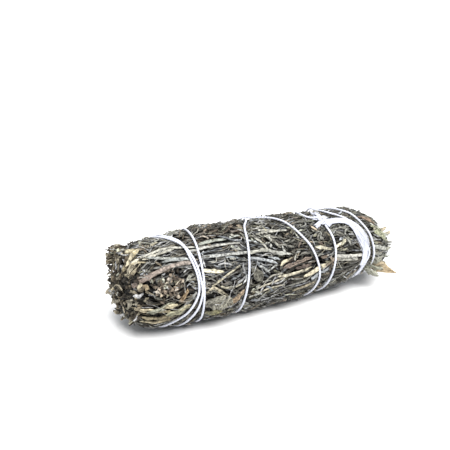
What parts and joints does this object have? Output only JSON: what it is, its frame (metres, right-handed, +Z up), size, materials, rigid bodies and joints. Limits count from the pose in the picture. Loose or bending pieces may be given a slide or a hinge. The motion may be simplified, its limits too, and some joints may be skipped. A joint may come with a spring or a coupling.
{
  "type": "sage bunch",
  "caption": "Bundle of dried sage sprigs, packed side by side into a round stick and bound along its length with wound cotton string.",
  "frame": {"origin": "on the surface that the bundle lies on, under the middle of its box", "axes": "+X along the bundle towards the knotted end, +Z up, -Y towards the front"},
  "size_m": [0.1068, 0.0316, 0.0301],
  "materials": {
    "dried_leaf_grey": "dry, matt grey-green leaf and twig",
    "dried_leaf_olive": "dry, matt olive leaf and twig",
    "dried_leaf_pale": "dry, matt pale grey-green leaf and twig",
    "cotton_string": "twisted, undyed white cotton"
  },
  "bodies": {
    "root": {"outer_sprig_01": "dried_leaf_grey", "outer_sprig_02": "dried_leaf_olive", "outer_sprig_03": "dried_leaf_pale", "outer_sprig_04": "dried_leaf_grey", "outer_sprig_05": "dried_leaf_olive", "outer_sprig_06": "dried_leaf_pale", "outer_sprig_07": "dried_leaf_grey", "outer_sprig_08": "dried_leaf_olive", "outer_sprig_09": "dried_leaf_pale", "outer_sprig_10": "dried_leaf_grey", "outer_sprig_11": "dried_leaf_olive", "outer_sprig_12": "dried_leaf_pale", "inner_sprig_1": "dried_leaf_grey", "inner_sprig_2": "dried_leaf_olive", "inner_sprig_3": "dried_leaf_pale", "inner_sprig_4": "dried_leaf_grey", "inner_sprig_5": "dried_leaf_olive", "inner_sprig_6": "dried_leaf_pale", "centre_sprig": "dried_leaf_grey", "binding_string": "cotton_string"}
  },
  "joints": []
}
